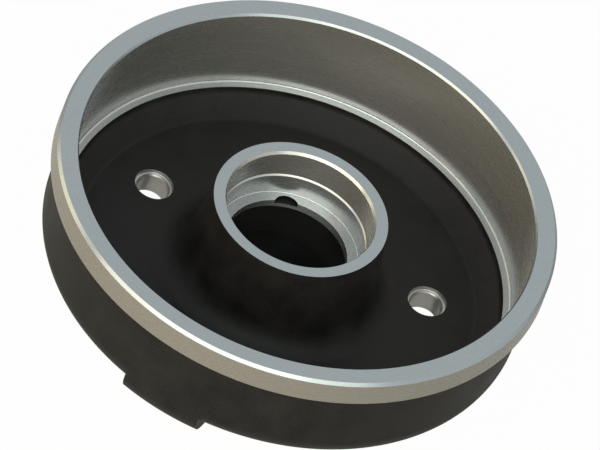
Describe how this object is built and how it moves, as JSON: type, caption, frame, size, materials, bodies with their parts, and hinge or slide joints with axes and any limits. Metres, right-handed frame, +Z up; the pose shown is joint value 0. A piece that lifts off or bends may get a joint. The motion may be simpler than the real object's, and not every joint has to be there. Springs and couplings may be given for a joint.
{
  "type": "trailer wheel hub",
  "caption": "Cast-iron trailer wheel hub and brake drum in one piece, mouth upward, with a stepped bearing bore, a dished web with stud holes and a drafted snout.",
  "frame": {"origin": "centre of the snout's end face, at the bottom of the turning axis", "axes": "+Z up the turning axis, out of the drum's mouth; +X through one stud hole and the middle of one locating pad"},
  "size_m": [0.2736, 0.2736, 0.13],
  "materials": {
    "casting": "matt black dip on the cast skin, fine-turned bare metal on the working faces"
  },
  "bodies": {
    "root": {"hub_drum": "casting"}
  },
  "joints": []
}
